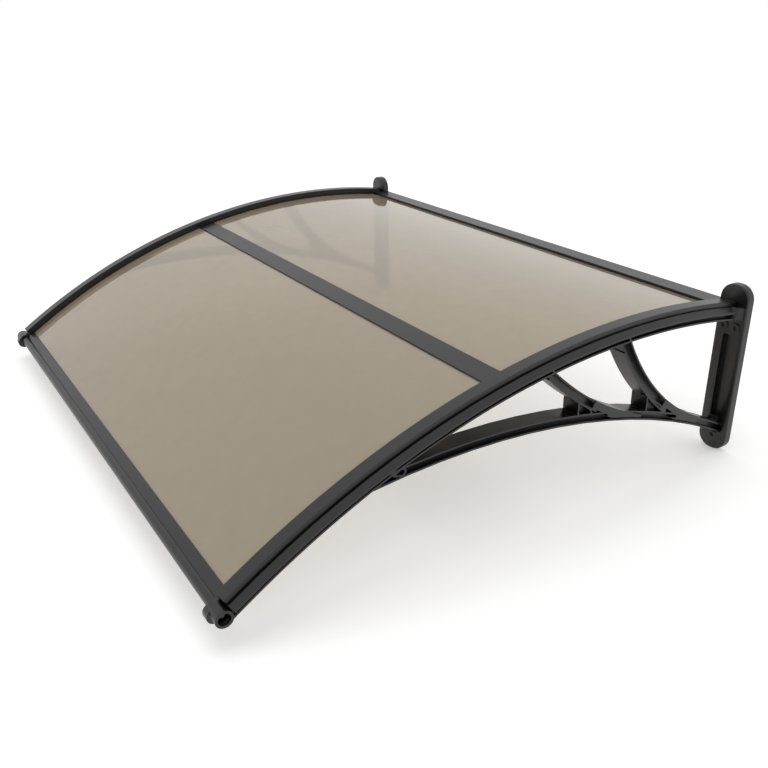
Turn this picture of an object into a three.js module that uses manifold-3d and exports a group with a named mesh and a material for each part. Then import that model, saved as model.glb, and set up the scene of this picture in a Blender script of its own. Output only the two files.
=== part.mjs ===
// A rigid door canopy: two tinted sheets held by a pair of moulded wall brackets and three aluminium rails.
// Millimetres. X runs along the wall, Y points into the wall, Z is up.
// The origin is on the wall plane at mid-width, in the middle of the rear rail's back face.

import * as THREE from 'three';
import { mergeVertices } from 'three/addons/utils/BufferGeometryUtils.js';
import Module from 'manifold-3d';

const wasm = await Module();
wasm.setup();

// Overall sizes
const overallWidth = 1000;
const tubeDistance = 790;
const fitGap = 0.3;

// Sheets: their top faces lie on one cylinder whose axis runs along X
const sheetRadius = 1069;
const crownDistance = 178;
const crownHeight = 14;
const sheetThickness = 3;
const sheetUnderStrip = 11;
const sheetEndGap = 1;

// Wall plate of each bracket
const plateWidth = 47;
const plateHeight = 255;
const plateThickness = 12;
const plateTop = 36;
const plateCorner = 21;
const plateEdge = 2;
const channelWidth = 18;
const channelDepth = 8;
const channelCorner = 5;
const channelGap = 5;
const wallHoleRadius = 3.2;
const wallHoleSpread = 20;
const upperHoleDrop = 61;
const lowerHoleRise = 22;
const padRadius = 7;
const padHeight = 1.5;

// Arm, brace and struts of each bracket
const armWidth = 27;
const webThickness = 11;
const lipThickness = 2.3;
const seatThickness = 2;
const shoulderWidth = 7;
const shoulderHeight = 5;
const shoulderDrop = 1.4;
const shoulderFlat = 2;
const braceThickness = 13;
const cornerRadius = 8;
const flareRadius = 10;

// Underside of the arm: distances from the wall and drops below the sheets' top face
const undersidePoints = [[731, 9.8], [379, 9.9], [97, 11.9]];

// Brace: two points below the sheets, and its height above the plate's bottom where it meets the plate
const bracePoints = [[576, 13.6], [405, 63.1]];
const braceRise = 37.7;
const braceFront = 610;

// Struts: the rear edge runs from a drop below the sheets to a rise above the brace, bowed forwards.
// The foot has a front end, a rim in the middle and the back end of its pocket.
const struts = [
  { top: 351, topDrop: 11.9, bottom: 195, bottomRise: 1.8, bow: 9.1, thickness: 13, foot: [312, 284, 257] },
  { top: 225, topDrop: 14, bottom: 72, bottomRise: 8.3, bow: 17.2, thickness: 17, foot: [185, 148, 119] },
];
const strutOverrun = 12;
const strutTail = 3;
const tailDrop = 2.5;

// Moulded rims and pockets where the bars of the bracket meet
const rimThickness = 2.2;
const rimRadius = 5;
const rimGap = 3;
const rimDrop = 14;
const pocketDrop = 12;
const pocketDepth = 8;
const junctionSpan = [588, 572, 566];

// Nose of each bracket, a socket for the front rail's tube
const tubeRadius = 7;
const noseRadius = 10.5;
const lobeRadius = 9.5;
const lobeLength = 12;
const lobeForward = 5.5;
const tubeSetback = 12;

// Press strips, their tape and their screws
const stripWidth = 19;
const stripTop = 11.7;
const stripRoof = 3.2;
const stripLeg = 3;
const stripEdge = 1;
const stripFrontSetback = 12;
const stripRearSetback = 2.5;
const tapeThickness = 2;
const screwRadius = 1.75;
const screwHeadRadius = 3.6;
const screwHeadHeight = 2.4;
const screwEngagement = 7;
const screwEdge = 3.5;
const screwHeadRound = 1.4;
const recessDepth = 1.4;
const recessWidth = 0.9;
const stripScrewDistances = [90, 290, 480, 720];

// Rails
const railWall = 2;
const rearRailDepth = 30;
const rearRailHeight = 16;
const centreRailDistance = 421;
const centreRailWidth = 29;
const centreRailLowerWidth = 24;
const centreRailWeb = 3;
const centreRailTop = 2.6;
const frontLipReach = 20;
const frontSlotFloor = 10.2;
const railScrewHeadRadius = 5.5;
const railScrewLength = 24;

// Fineness of the round shapes
const ringSegments = 180;
const curveSegments = 7;
const lipSegments = 24;
const tubeSegments = 20;
const roundSegments = 12;
const plateCornerSegments = 8;
const plateEdgeSegments = 2;
const mergeTolerance = 1e-3;

// How far cutting shapes run past what they cut
const cutMargin = 1;
const wedgeReach = 400;

// Places that follow from the sizes above
const armCentre = (overallWidth - plateWidth) / 2;
const armInner = armCentre - armWidth / 2;
const armOuter = armCentre + armWidth / 2;
const webInner = armCentre - webThickness / 2;
const webOuter = armCentre + webThickness / 2;
const shoulderInner = armOuter - shoulderWidth;
const sheetHalfWidth = armInner + sheetUnderStrip;
const stripOuter = armInner + stripWidth;
const seatTop = -sheetThickness - fitGap;
const railHalfLength = armInner - fitGap;
const plateBottom = plateTop - plateHeight;
const arcCentre = { y: -crownDistance, z: crownHeight - sheetRadius };
const tubeAngle = angleAtDistance(tubeDistance);
const tubeAxis = onArc(tubeAngle, 0);
const undersideCurve = circleThrough(...undersidePoints.map(belowSheet));
const braceCurve = circleThrough(...bracePoints.map(belowSheet), [plateThickness, plateBottom + braceRise]);
const braceHalf = braceThickness / 2;
const axisX = new THREE.Vector3(1, 0, 0);
const axisY = new THREE.Vector3(0, 1, 0);
const axisZ = new THREE.Vector3(0, 0, 1);

// Materials
const blackPlastic = new THREE.MeshStandardMaterial({ color: 0x1b1c1e, roughness: 0.45, metalness: 0 });
const greyAluminium = new THREE.MeshStandardMaterial({ color: 0x35373a, roughness: 0.4, metalness: 0.8 });
const blackRubber = new THREE.MeshStandardMaterial({ color: 0x101010, roughness: 0.9, metalness: 0 });
const zincSteel = new THREE.MeshStandardMaterial({ color: 0x8e9196, roughness: 0.35, metalness: 1 });
const bronzeSheet = new THREE.MeshStandardMaterial({
  color: 0xa8977f, roughness: 0.08, metalness: 0, transparent: true, opacity: 0.5,
});

// Curves

// The circle through three points, each a distance from the wall and a height
function circleThrough(...points) {
  const [[ay, az], [by, bz], [cy, cz]] = points.map(([distance, height]) => [-distance, height]);
  const turn = 2 * (ay * (bz - cz) + by * (cz - az) + cy * (az - bz));
  const a2 = ay * ay + az * az;
  const b2 = by * by + bz * bz;
  const c2 = cy * cy + cz * cz;
  const y = (a2 * (bz - cz) + b2 * (cz - az) + c2 * (az - bz)) / turn;
  const z = (a2 * (cy - by) + b2 * (ay - cy) + c2 * (by - ay)) / turn;
  return { y, z, radius: Math.hypot(ay - y, az - z) };
}

// The circle through two points that leaves their chord by bow, forwards and down
function bowedCurve([startDistance, startHeight], [endDistance, endHeight], bow) {
  const alongY = startDistance - endDistance;
  const alongZ = endHeight - startHeight;
  const chord = Math.hypot(alongY, alongZ);
  const radius = (chord * chord) / (8 * bow) + bow / 2;
  const offset = (radius - bow) / chord;
  const y = -(startDistance + endDistance) / 2 - alongZ * offset;
  const z = (startHeight + endHeight) / 2 + alongY * offset;
  return { y, z, radius };
}

// A distance from the wall and a drop below the sheets' top face, as a distance and a height
function belowSheet([distance, drop]) {
  return [distance, onArc(angleAtDistance(distance), 0).z - drop];
}

// The angle around the sheets' axis, from straight up, at a distance from the wall
function angleAtDistance(distance) {
  return Math.asin((crownDistance - distance) / sheetRadius);
}

// The angle that a length along the sheet turns
function angleOfLength(length) {
  return length / sheetRadius;
}

// A point on the sheets' top face, or above it by lift
function onArc(angle, lift) {
  const radius = sheetRadius + lift;
  return { y: arcCentre.y + radius * Math.sin(angle), z: arcCentre.z + radius * Math.cos(angle) };
}

// The height of a circle's upper or lower half at a distance from the wall
function heightOn(circle, radius, distance, half) {
  const across = -distance - circle.y;
  return circle.z + half * Math.sqrt(radius * radius - across * across);
}

// How far the arm's underside lies from the sheets' top face, square to the sheet
function undersideLift(angle) {
  const dy = arcCentre.y - undersideCurve.y;
  const dz = arcCentre.z - undersideCurve.z;
  const along = Math.sin(angle) * dy + Math.cos(angle) * dz;
  const reach = along * along - dy * dy - dz * dz + undersideCurve.radius ** 2;
  return Math.sqrt(reach) - along - sheetRadius;
}

// Solids

function solid(geometry) {
  geometry.deleteAttribute('normal');
  geometry.deleteAttribute('uv');
  const merged = mergeVertices(geometry, mergeTolerance);
  const vertProperties = new Float32Array(merged.attributes.position.array);
  const triVerts = new Uint32Array(merged.index.array);
  return new wasm.Manifold(new wasm.Mesh({ numProp: 3, vertProperties, triVerts }));
}

function union(solids) {
  return solids.reduce((whole, piece) => whole.add(piece));
}

// A side-view shape in (Y, Z), extruded along X on one side of the canopy
function extrudeX(shape, inner, outer, side, segments = curveSegments) {
  const options = { depth: outer - inner, bevelEnabled: false, curveSegments: segments };
  const geometry = new THREE.ExtrudeGeometry(shape, options);
  geometry.applyMatrix4(new THREE.Matrix4().makeBasis(axisY, axisZ, axisX));
  geometry.translate(side > 0 ? inner : -outer, 0, 0);
  return solid(geometry);
}

// A plan-view shape in (X, Y), extruded up from one height to another
function extrudeZ(shape, bottom, top) {
  const options = { depth: top - bottom, bevelEnabled: false, curveSegments };
  const geometry = new THREE.ExtrudeGeometry(shape, options);
  geometry.translate(0, 0, bottom);
  return solid(geometry);
}

function box(from, to) {
  const size = to.map((value, axis) => value - from[axis]);
  const geometry = new THREE.BoxGeometry(...size);
  geometry.translate(...from.map((value, axis) => value + size[axis] / 2));
  return solid(geometry);
}

function cylinderX(centre, radius, inner, outer, side, segments = roundSegments) {
  const geometry = new THREE.CylinderGeometry(radius, radius, outer - inner, segments);
  geometry.rotateZ(Math.PI / 2);
  geometry.translate((side * (inner + outer)) / 2, centre.y, centre.z);
  return solid(geometry);
}

function cylinderY(x, z, radius, front, back) {
  const geometry = new THREE.CylinderGeometry(radius, radius, back - front, roundSegments);
  geometry.translate(x, (front + back) / 2, z);
  return solid(geometry);
}

// A pin square to the sheet at one angle, between two lifts
function pinAcrossSheet(x, angle, radius, fromLift, toLift) {
  const geometry = new THREE.CylinderGeometry(radius, radius, toLift - fromLift, roundSegments);
  const middle = onArc(angle, (fromLift + toLift) / 2);
  geometry.rotateX(Math.PI / 2 - angle);
  geometry.translate(x, middle.y, middle.z);
  return solid(geometry);
}

// A section in (x, lift), turned all the way round the sheets' axis
function ring(section, side) {
  const points = section.map(([x, lift]) => new THREE.Vector2(sheetRadius + lift, side * x));
  if (side < 0) points.reverse();
  points.push(points[0].clone());
  const geometry = new THREE.LatheGeometry(points, ringSegments);
  geometry.rotateZ(-Math.PI / 2);
  geometry.translate(0, arcCentre.y, arcCentre.z);
  return solid(geometry);
}

// The wedge between two angles around the sheets' axis
function wedge(startAngle, endAngle) {
  const corners = [arcCentre, onArc(startAngle, wedgeReach), onArc(endAngle, wedgeReach)];
  const shape = new THREE.Shape(corners.map(({ y, z }) => new THREE.Vector2(y, z)));
  return extrudeX(shape, -overallWidth, overallWidth, 1);
}

function arcPiece(section, startAngle, endAngle, side = 1) {
  return ring(section, side).intersect(wedge(startAngle, endAngle));
}

// A plain rectangular section, given in the order that ring needs
function rectangle(inner, outer, bottom, top) {
  return [[inner, bottom], [inner, top], [outer, top], [outer, bottom]];
}

// The part of a flat ring between two distances from the wall, as a side-view shape
function curvedBar(circle, innerRadius, outerRadius, span, half) {
  const [start, end] = span.map((distance) => {
    const height = heightOn(circle, innerRadius, distance, half);
    return Math.atan2(height - circle.z, -distance - circle.y);
  });
  const shape = new THREE.Shape();
  shape.absarc(circle.y, circle.z, outerRadius, start, end, end < start);
  shape.absarc(circle.y, circle.z, innerRadius, end, start, end > start);
  return shape;
}

// A curved bar of I-section: a web that ends inside a wide lip along each edge
function ribbedBar(circle, innerRadius, outerRadius, span, half, side) {
  const inLip = lipThickness / 2;
  const web = curvedBar(circle, innerRadius + inLip, outerRadius - inLip, span, half);
  const innerLip = curvedBar(circle, innerRadius, innerRadius + lipThickness, span, half);
  const outerLip = curvedBar(circle, outerRadius - lipThickness, outerRadius, span, half);
  return union([
    extrudeX(web, webInner, webOuter, side),
    extrudeX(innerLip, armInner, armOuter, side),
    extrudeX(outerLip, armInner, armOuter, side),
  ]);
}

function polygon(points) {
  return new THREE.Shape(points.map(([distance, height]) => new THREE.Vector2(-distance, height)));
}

// A convex outline with its corners rounded, given clockwise as distances from the wall and heights
function roundedOutline(points, radius) {
  const corners = points.map(([distance, height]) => new THREE.Vector2(-distance, height));
  const shape = new THREE.Shape();
  corners.forEach((corner, index) => {
    const before = corners.at(index - 1);
    const after = corners[(index + 1) % corners.length];
    const toward = (other) => {
      const length = corner.distanceTo(other);
      return corner.clone().lerp(other, Math.min(radius, length / 2) / length);
    };
    const entry = toward(before);
    const exit = toward(after);
    if (index === 0) shape.moveTo(entry.x, entry.y);
    else shape.lineTo(entry.x, entry.y);
    shape.quadraticCurveTo(corner.x, corner.y, exit.x, exit.y);
  });
  return shape;
}

// The same outline with every edge moved inwards
function insetPoints(points, inset) {
  const count = points.length;
  const edges = points.map(([distance, height], index) => {
    const [nextDistance, nextHeight] = points[(index + 1) % count];
    const along = [nextDistance - distance, nextHeight - height];
    const length = Math.hypot(...along);
    const normal = [-along[1] / length, along[0] / length];
    return { normal, reach: normal[0] * distance + normal[1] * height + inset };
  });
  return points.map((point, index) => {
    const a = edges.at(index - 1);
    const b = edges[index];
    const turn = a.normal[0] * b.normal[1] - a.normal[1] * b.normal[0];
    return [
      (a.reach * b.normal[1] - b.reach * a.normal[1]) / turn,
      (b.reach * a.normal[0] - a.reach * b.normal[0]) / turn,
    ];
  });
}

// A hollow fillet in the corner between a bar and the plate, below or above the bar
function cornerFillet(height, direction, side) {
  const corner = -plateThickness + plateEdge;
  const reach = cornerRadius + plateEdge;
  const shape = new THREE.Shape();
  shape.moveTo(corner, height - direction * plateEdge);
  shape.lineTo(corner, height + direction * cornerRadius);
  shape.lineTo(-plateThickness, height + direction * cornerRadius);
  shape.quadraticCurveTo(-plateThickness, height, corner - reach, height);
  shape.lineTo(corner - reach, height - direction * plateEdge);
  return extrudeX(shape, webInner, webOuter, side);
}

// Brackets

function wallPlate(side) {
  const left = armCentre * side - plateWidth / 2;
  const right = left + plateWidth;
  const outline = new THREE.Shape();
  outline.moveTo(left, plateBottom + plateCorner);
  outline.absarc(left + plateCorner, plateTop - plateCorner, plateCorner, Math.PI, Math.PI / 2, true);
  outline.absarc(right - plateCorner, plateTop - plateCorner, plateCorner, Math.PI / 2, 0, true);
  outline.absarc(right - plateCorner, plateBottom + plateCorner, plateCorner, 0, -Math.PI / 2, true);
  outline.absarc(left + plateCorner, plateBottom + plateCorner, plateCorner, -Math.PI / 2, -Math.PI, true);
  const geometry = new THREE.ExtrudeGeometry(outline, {
    depth: plateThickness - plateEdge,
    bevelThickness: plateEdge,
    bevelSize: plateEdge,
    bevelOffset: -plateEdge,
    bevelSegments: plateEdgeSegments,
    curveSegments: plateCornerSegments,
  });
  geometry.applyMatrix4(new THREE.Matrix4().makeBasis(axisX, axisZ, axisY.clone().negate()));
  const behindWall = box(
    [left - cutMargin, 0, plateBottom - cutMargin],
    [right + cutMargin, plateThickness, plateTop + cutMargin],
  );
  return solid(geometry).subtract(behindWall.add(plateChannel(side)));
}

// The round-cornered recess down the plate's middle, from under the wall holes to above the brace
function plateChannel(side) {
  const left = armCentre * side - channelWidth / 2;
  const right = left + channelWidth;
  const top = plateTop - upperHoleDrop - padRadius - channelGap;
  const bottom = heightOn(braceCurve, braceCurve.radius + braceHalf, plateThickness, 1) + cornerRadius;
  const floor = -plateThickness + channelDepth;
  const front = -plateThickness - cutMargin;
  const columns = [left + channelCorner, right - channelCorner].map((x) =>
    cylinderY(x, top - channelCorner, channelCorner, front, floor));
  return union([
    ...columns,
    box([left + channelCorner, front, bottom], [right - channelCorner, floor, top]),
    box([left, front, bottom], [right, floor, top - channelCorner]),
  ]);
}

function wallHoles() {
  const upper = plateTop - upperHoleDrop;
  const half = wallHoleSpread / 2;
  return {
    upper: [[-half, upper], [half, upper]],
    all: [[-half, upper], [half, upper], [0, plateBottom + lowerHoleRise]],
  };
}

// The arm: a seat for the sheet, an outer shoulder with a sloping face, a web and a lower lip
function arm(side) {
  const seatBottom = seatTop - seatThickness;
  const inSeat = seatTop - seatThickness / 2;
  const shoulder = [
    [shoulderInner, inSeat],
    [shoulderInner, shoulderHeight],
    [shoulderInner + shoulderFlat, shoulderHeight],
    [armOuter, -shoulderDrop],
    [armOuter, inSeat],
  ];
  const front = tubeAngle + angleOfLength(stripFrontSetback);
  const back = angleAtDistance(plateThickness / 2);
  const { radius } = undersideCurve;
  const inLip = radius + lipThickness / 2;
  const belowLip = cylinderX(undersideCurve, inLip, armInner, armOuter, side, ringSegments);
  const webSection = rectangle(webInner, webOuter, undersideLift(back) - lipThickness, inSeat);
  const web = arcPiece(webSection, tubeAngle, back, side);
  const seat = rectangle(armInner, armOuter - shoulderFlat, seatBottom, seatTop);
  const lip = curvedBar(undersideCurve, radius, radius + lipThickness, [tubeDistance, plateThickness / 2], 1);
  return union([
    arcPiece(seat, tubeAngle, back, side),
    arcPiece(shoulder, front, back, side),
    web.subtract(belowLip),
    extrudeX(lip, armInner, armOuter, side, lipSegments),
  ]);
}

// Where the arm meets the plate its outer side sweeps out to the plate's edge
function armFlare(side) {
  const front = -plateThickness - flareRadius;
  const reach = armOuter + flareRadius - plateEdge;
  const shape = new THREE.Shape();
  shape.moveTo(side * webOuter, front);
  shape.lineTo(side * armOuter, front);
  shape.quadraticCurveTo(side * armOuter, -plateThickness, side * reach, -plateThickness);
  shape.lineTo(side * reach, -plateThickness / 2);
  shape.lineTo(side * webOuter, -plateThickness / 2);
  const column = extrudeZ(shape, -plateTop, plateTop);
  const bottom = undersideLift(angleAtDistance(plateThickness));
  const shell = ring(rectangle(webOuter - cutMargin, overallWidth / 2, bottom, shoulderHeight), side);
  return column.intersect(shell);
}

// The height of the brace at a distance from the wall, on its middle line or off it
function braceHeight(distance, offset = 0) {
  return heightOn(braceCurve, braceCurve.radius + offset, distance, 1);
}

function strutCurve({ top, topDrop, bottom, bottomRise, bow }) {
  return bowedCurve(belowSheet([top, topDrop]), [bottom, braceHeight(bottom) + bottomRise], bow);
}

// A thin wall across the arm's full width that follows a rounded outline
function rim(points, side) {
  const outer = roundedOutline(points, rimRadius);
  const inner = insetPoints(points, rimThickness).reverse();
  outer.holes.push(roundedOutline(inner, rimRadius - rimThickness));
  return extrudeX(outer, armInner, armOuter, side);
}

// A strut: an I-section bar, a rimmed web in the corner before the brace, and a solid tail with a pocket
function strut(sizes, side) {
  const { top, bottom, thickness, foot: [front, middle, back] } = sizes;
  const curve = strutCurve(sizes);
  const outerRadius = curve.radius + thickness;
  const frontEdge = (distance) => heightOn(curve, outerRadius, distance, -1);
  const rearEdge = (distance) => heightOn(curve, curve.radius, distance, -1);
  const rimTop = middle + rimRadius;
  const bar = ribbedBar(curve, curve.radius, outerRadius, [top + strutOverrun, middle], -1, side);
  const corner = polygon([
    [front, braceHeight(front)],
    [front, frontEdge(front) + lipThickness],
    [back, rearEdge(back) - lipThickness],
    [back, braceHeight(back)],
  ]);
  const footRim = rim([
    [front, braceHeight(front, braceHalf) - lipThickness],
    [front, frontEdge(front) + lipThickness],
    [rimTop, rearEdge(rimTop) - rimDrop],
    [middle, braceHeight(middle, braceHalf) - lipThickness],
  ], side);
  const tail = curvedBar(curve, curve.radius, outerRadius, [middle - rimGap, bottom - strutTail], -1);
  const pocketFront = middle - rimGap - rimThickness;
  const pocketBottom = rimThickness - tailDrop;
  const pocket = roundedOutline([
    [pocketFront, braceHeight(pocketFront, pocketBottom)],
    [pocketFront, rearEdge(pocketFront) - pocketDrop],
    [back, rearEdge(back) - pocketDrop],
    [back, braceHeight(back, pocketBottom)],
  ], rimThickness);
  const pockets = union([
    extrudeX(pocket, armInner - cutMargin, armInner + pocketDepth, side),
    extrudeX(pocket, armOuter - pocketDepth, armOuter + cutMargin, side),
  ]);
  const body = union([bar, footRim, extrudeX(corner, webInner, webOuter, side)]);
  return body.add(extrudeX(tail, armInner, armOuter, side).subtract(pockets));
}

// The rim that closes the brace's recess where it runs into the arm
function junctionRim(side) {
  const [tip, top, back] = junctionSpan;
  const underArm = (distance) => heightOn(undersideCurve, undersideCurve.radius, distance, 1) + lipThickness;
  return rim([
    [tip, underArm(tip) - lipThickness],
    [top, underArm(top)],
    [back, braceHeight(back)],
    [top, braceHeight(top, -braceHalf) + lipThickness / 2],
  ], side);
}

// Brace and struts, cut off where the sheet's seat begins
function truss(side) {
  const { radius } = braceCurve;
  const span = [braceFront, plateThickness / 2];
  const brace = ribbedBar(braceCurve, radius - braceHalf, radius + braceHalf, span, 1, side);
  const ends = [armInner - cutMargin, armOuter + cutMargin];
  const belowTail = cylinderX(braceCurve, radius - tailDrop, ...ends, side, ringSegments);
  const bars = union(struts.map((sizes) => strut(sizes, side))).subtract(belowTail);
  const aboveSeat = ring(rectangle(...ends, seatTop - fitGap, stripTop + armWidth), side);
  return union([brace, bars, junctionRim(side)]).subtract(aboveSeat);
}

function nose(side) {
  const forward = tubeAngle - Math.PI / 2;
  const lobe = {
    y: tubeAxis.y + lobeForward * Math.sin(forward),
    z: tubeAxis.z + lobeForward * Math.cos(forward),
  };
  return union([
    cylinderX(tubeAxis, noseRadius, armInner, armOuter, side, tubeSegments),
    cylinderX(lobe, lobeRadius, armInner, armInner + lobeLength, side, tubeSegments),
  ]);
}

function bracket(side) {
  const centre = armCentre * side;
  const holes = wallHoles();
  const pads = holes.upper.map(([x, z]) =>
    cylinderY(centre + x, z, padRadius, -plateThickness - padHeight, -plateThickness / 2));
  const body = union([
    wallPlate(side),
    ...pads,
    arm(side),
    armFlare(side),
    truss(side),
    nose(side),
    cornerFillet(braceHeight(plateThickness, braceHalf), 1, side),
    cornerFillet(braceHeight(plateThickness, -braceHalf), -1, side),
    cornerFillet(heightOn(undersideCurve, undersideCurve.radius, plateThickness, 1), -1, side),
  ]);
  const drilled = holes.all.map(([x, z]) =>
    cylinderY(centre + x, z, wallHoleRadius, -plateThickness * 2, cutMargin));
  const ends = [armInner - cutMargin, armOuter + cutMargin];
  const bore = cylinderX(tubeAxis, tubeRadius + fitGap, ...ends, side, tubeSegments);
  return body.subtract(union([...drilled, screwHoles(-plateTop, seatTop + cutMargin, side), bore]));
}

// Press strips

function stripScrewX(side) {
  return side * (stripOuter - screwEdge);
}

// Clearance holes for one side's strip screws, between two lifts
function screwHoles(fromLift, toLift, side) {
  return union(stripScrewDistances.map((distance) => {
    const angle = angleAtDistance(distance);
    return pinAcrossSheet(stripScrewX(side), angle, screwRadius + fitGap, fromLift, toLift);
  }));
}

function stripSpan() {
  const front = tubeAngle + angleOfLength(stripFrontSetback);
  const back = angleAtDistance(plateThickness + stripRearSetback);
  return [front, back];
}

function pressStrip(side) {
  const legBottom = tapeThickness + 2 * fitGap;
  const roof = stripTop - stripRoof;
  const boss = sheetHalfWidth + sheetEndGap;
  const section = [
    [armInner, legBottom],
    [armInner, stripTop - stripEdge],
    [armInner + stripEdge, stripTop],
    [stripOuter - stripEdge, stripTop],
    [stripOuter, stripTop - stripEdge],
    [stripOuter, seatTop + fitGap],
    [boss, seatTop + fitGap],
    [boss, roof],
    [armInner + stripLeg, roof],
    [armInner + stripLeg, legBottom],
  ];
  const holes = screwHoles(seatTop - cutMargin, screwEngagement + cutMargin, side);
  return arcPiece(section, ...stripSpan(), side).subtract(holes);
}

function sealingTape(side) {
  return arcPiece(rectangle(armInner, sheetHalfWidth, fitGap, fitGap + tapeThickness), ...stripSpan(), side);
}

// A pan-head screw along +Y, its head below zero, with a cross recess
function screw(headRadius, length) {
  const profile = [
    [0, -screwHeadHeight],
    [headRadius - screwHeadRound, -screwHeadHeight],
    [headRadius, screwHeadRound - screwHeadHeight],
    [headRadius, 0],
    [screwRadius, 0],
    [screwRadius, length - screwRadius * 2],
    [0, length],
  ];
  const points = profile.map(([radius, along]) => new THREE.Vector2(radius, along));
  const body = solid(new THREE.LatheGeometry(points, roundSegments));
  const reach = screwRadius;
  const half = recessWidth / 2;
  const front = -screwHeadHeight - cutMargin;
  const floor = recessDepth - screwHeadHeight;
  const recess = box([-reach, front, -half], [reach, floor, half])
    .add(box([-half, front, -reach], [half, floor, reach]));
  return toGeometry(body.subtract(recess));
}

// Rails

// The rear rail: a bar against the wall with a slot for the rear sheet, its ends cut round the wall plates
function rearRail() {
  const half = rearRailHeight / 2;
  const slotEnd = angleAtDistance(plateThickness);
  const slotMouth = angleAtDistance(rearRailDepth + cutMargin);
  const slotAbove = 2 * fitGap;
  const slotBelow = -sheetThickness - 2 * fitGap;
  const outline = polygon([[0, -half], [0, half], [rearRailDepth, half], [rearRailDepth, -half]]);
  const slotCorners = [
    onArc(slotMouth, slotAbove),
    onArc(slotEnd, slotAbove),
    onArc(slotEnd, slotBelow),
    onArc(slotMouth, slotBelow),
  ];
  const slot = new THREE.Shape(slotCorners.map(({ y, z }) => new THREE.Vector2(y, z)));
  const plateInner = armCentre - plateWidth / 2 - fitGap;
  const notchFront = plateThickness + fitGap;
  const notchTop = half + cutMargin;
  const notch = polygon([
    [-cutMargin, -notchTop],
    [-cutMargin, notchTop],
    [notchFront, notchTop],
    [notchFront, -notchTop],
  ]);
  const notches = [1, -1].map((side) => extrudeX(notch, plateInner, armOuter, side));
  const bar = extrudeX(outline, -railHalfLength, railHalfLength, 1);
  const cut = extrudeX(slot, -railHalfLength - cutMargin, railHalfLength + cutMargin, 1);
  return bar.subtract(union([cut, ...notches]));
}

// One flat layer of a rail that follows the sheet, between two lengths from a given angle
function railLayer(angle, from, to, bottom, top) {
  const section = rectangle(-railHalfLength, railHalfLength, bottom, top);
  return arcPiece(section, angle + angleOfLength(from), angle + angleOfLength(to));
}

// The centre rail: an H-section that takes a sheet on each side
function centreRail() {
  const middle = angleAtDistance(centreRailDistance);
  const below = -sheetThickness - fitGap;
  const upperHalf = centreRailWidth / 2;
  const lowerHalf = centreRailLowerWidth / 2;
  const webHalf = centreRailWeb / 2;
  return union([
    railLayer(middle, -upperHalf, upperHalf, fitGap, centreRailTop),
    railLayer(middle, -webHalf, webHalf, below - fitGap, fitGap * 2),
    railLayer(middle, -lowerHalf, lowerHalf, below - railWall, below),
  ]);
}

// The front rail: a tube along the front edge with a slotted flange for the front sheet
function frontRail() {
  const below = -sheetThickness - fitGap;
  const tubeHalf = armOuter - tubeSetback;
  const pilotEnds = [tubeHalf - railScrewLength - cutMargin, tubeHalf + cutMargin];
  const pilot = (side) => cylinderX(tubeAxis, screwRadius + fitGap, ...pilotEnds, side);
  return union([
    cylinderX(tubeAxis, tubeRadius, -tubeHalf, tubeHalf, 1, tubeSegments),
    railLayer(tubeAngle, 0, frontSlotFloor, below - railWall, fitGap + railWall),
    railLayer(tubeAngle, 0, frontLipReach, fitGap, fitGap + railWall),
    railLayer(tubeAngle, 0, frontLipReach, below - railWall, below),
  ]).subtract(union([pilot(1), pilot(-1)]));
}

// Sheets

function sheet(startAngle, endAngle) {
  return arcPiece(rectangle(-sheetHalfWidth, sheetHalfWidth, -sheetThickness, 0), startAngle, endAngle);
}

function frontSheet() {
  const toCentre = angleOfLength(centreRailWeb / 2 + sheetEndGap);
  const front = tubeAngle + angleOfLength(frontSlotFloor + sheetEndGap);
  return sheet(front, angleAtDistance(centreRailDistance) - toCentre);
}

function rearSheet() {
  const toCentre = angleOfLength(centreRailWeb / 2 + sheetEndGap);
  return sheet(angleAtDistance(centreRailDistance) + toCentre, angleAtDistance(plateThickness + sheetEndGap));
}

// Assembly

function toGeometry(manifold) {
  const { vertProperties, triVerts } = manifold.getMesh();
  const geometry = new THREE.BufferGeometry();
  geometry.setAttribute('position', new THREE.BufferAttribute(new Float32Array(vertProperties), 3));
  geometry.setIndex(new THREE.BufferAttribute(new Uint32Array(triVerts), 1));
  geometry.computeVertexNormals();
  return geometry;
}

const canopy = new THREE.Group();

function addPiece(name, geometry, material) {
  const mesh = new THREE.Mesh(geometry, material);
  mesh.name = name;
  canopy.add(mesh);
  return mesh;
}

addPiece('panel_rear', toGeometry(rearSheet()), bronzeSheet);
addPiece('panel_front', toGeometry(frontSheet()), bronzeSheet);
addPiece('rail_rear', toGeometry(rearRail()), greyAluminium);
addPiece('rail_centre', toGeometry(centreRail()), greyAluminium);
addPiece('rail_front', toGeometry(frontRail()), greyAluminium);

for (const [name, side] of [['left', -1], ['right', 1]]) {
  addPiece(`bracket_${name}`, toGeometry(bracket(side)), blackPlastic);
  addPiece(`press_strip_${name}`, toGeometry(pressStrip(side)), greyAluminium);
  addPiece(`sealing_tape_${name}`, toGeometry(sealingTape(side)), blackRubber);

  stripScrewDistances.forEach((distance, index) => {
    const angle = angleAtDistance(distance);
    const headLift = undersideLift(angle) - fitGap;
    const seat = onArc(angle, headLift);
    const geometry = screw(screwHeadRadius, screwEngagement - headLift);
    const mesh = addPiece(`strip_screw_${name}_${index + 1}`, geometry, zincSteel);
    mesh.rotation.x = Math.PI / 2 - angle;
    mesh.position.set(stripScrewX(side), seat.y, seat.z);
  });

  const railScrew = addPiece(`rail_screw_${name}`, screw(railScrewHeadRadius, railScrewLength), zincSteel);
  railScrew.rotation.z = (side * Math.PI) / 2;
  railScrew.position.set(side * (armOuter - tubeSetback + fitGap), tubeAxis.y, tubeAxis.z);
}

export default canopy;
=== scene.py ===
import math

import bmesh
import bpy
from mathutils import Matrix, Vector


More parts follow.
